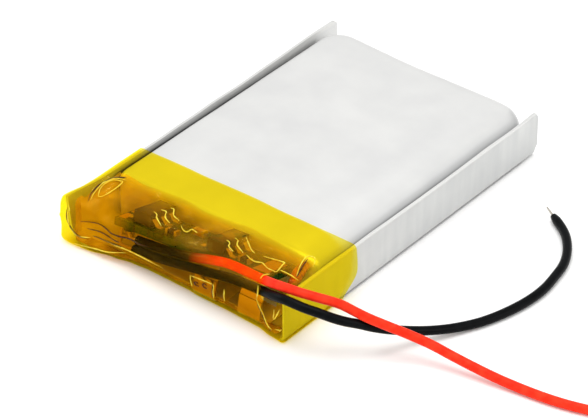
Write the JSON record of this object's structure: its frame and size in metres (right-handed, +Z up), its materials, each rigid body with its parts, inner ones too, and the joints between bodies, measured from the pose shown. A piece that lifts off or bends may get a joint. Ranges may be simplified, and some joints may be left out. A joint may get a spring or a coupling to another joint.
{
  "type": "pouch battery cell",
  "caption": "Small flat rechargeable pouch cell in silver laminate with a protection board under amber tape and thin red and black insulated leads.",
  "frame": {"origin": "centre of the flat underside, on the surface the cell lies on", "axes": "+X across the cell towards the end where the leads come out, +Y along the cell from the taped board end to the plain folded end, +Z up through the cell's thickness"},
  "size_m": [0.0496, 0.0316, 0.0049],
  "materials": {
    "pouch_film": "bright satin film over aluminium foil",
    "pouch_film_folded": "bright satin film, slightly creased at the folds",
    "cathode_coating": "matte dark coating on aluminium foil",
    "anode_coating": "matte graphite coating on copper foil",
    "separator_film": "thin white film",
    "roll_tape_film": "thin green film",
    "aluminium_tab": "plain rolled",
    "nickel_tab": "plain rolled",
    "sealing_film": "translucent white",
    "green_board": "glossy solder mask",
    "pad_gold": "thin plated finish",
    "foam_pad": "soft white foam",
    "moulded_black": "fine matte moulding",
    "tinned_metal": "bright tin plating",
    "resistor_glaze": "dark glaze on white ceramic",
    "capacitor_ceramic": "smooth tan",
    "nickel_strip": "plain rolled with weld dots",
    "solder": "bright solder",
    "inner_tape": "clear amber film",
    "amber_tape": "clear glossy yellow film",
    "red_insulation": "smooth sheath",
    "black_insulation": "smooth sheath",
    "tinned_strand": "fine tinned strands"
  },
  "bodies": {
    "root": {"pouch_cup": "pouch_film", "pouch_cover": "pouch_film_folded", "cathode_sheet": "cathode_coating", "anode_sheet": "anode_coating", "separator_inner": "separator_film", "separator_outer": "separator_film", "roll_tape": "roll_tape_film", "positive_tab": "aluminium_tab", "negative_tab": "nickel_tab", "tab_sealants": "sealing_film", "circuit_board": "green_board", "board_pads": "pad_gold", "board_support": "foam_pad", "protection_chip_body": "moulded_black", "protection_chip_leads": "tinned_metal", "switch_chip_body": "moulded_black", "switch_chip_leads": "tinned_metal", "resistor_bodies": "resistor_glaze", "capacitor_body": "capacitor_ceramic", "passive_terminals": "tinned_metal", "positive_link_strip": "nickel_strip", "negative_link_strip": "nickel_strip", "lead_solder_joints": "solder", "tape_inner": "inner_tape", "tape_wrap": "amber_tape", "red_lead": "red_insulation", "red_lead_root": "tinned_strand", "red_lead_tip": "tinned_strand", "black_lead": "black_insulation", "black_lead_root": "tinned_strand", "black_lead_tip": "tinned_strand"}
  },
  "joints": []
}
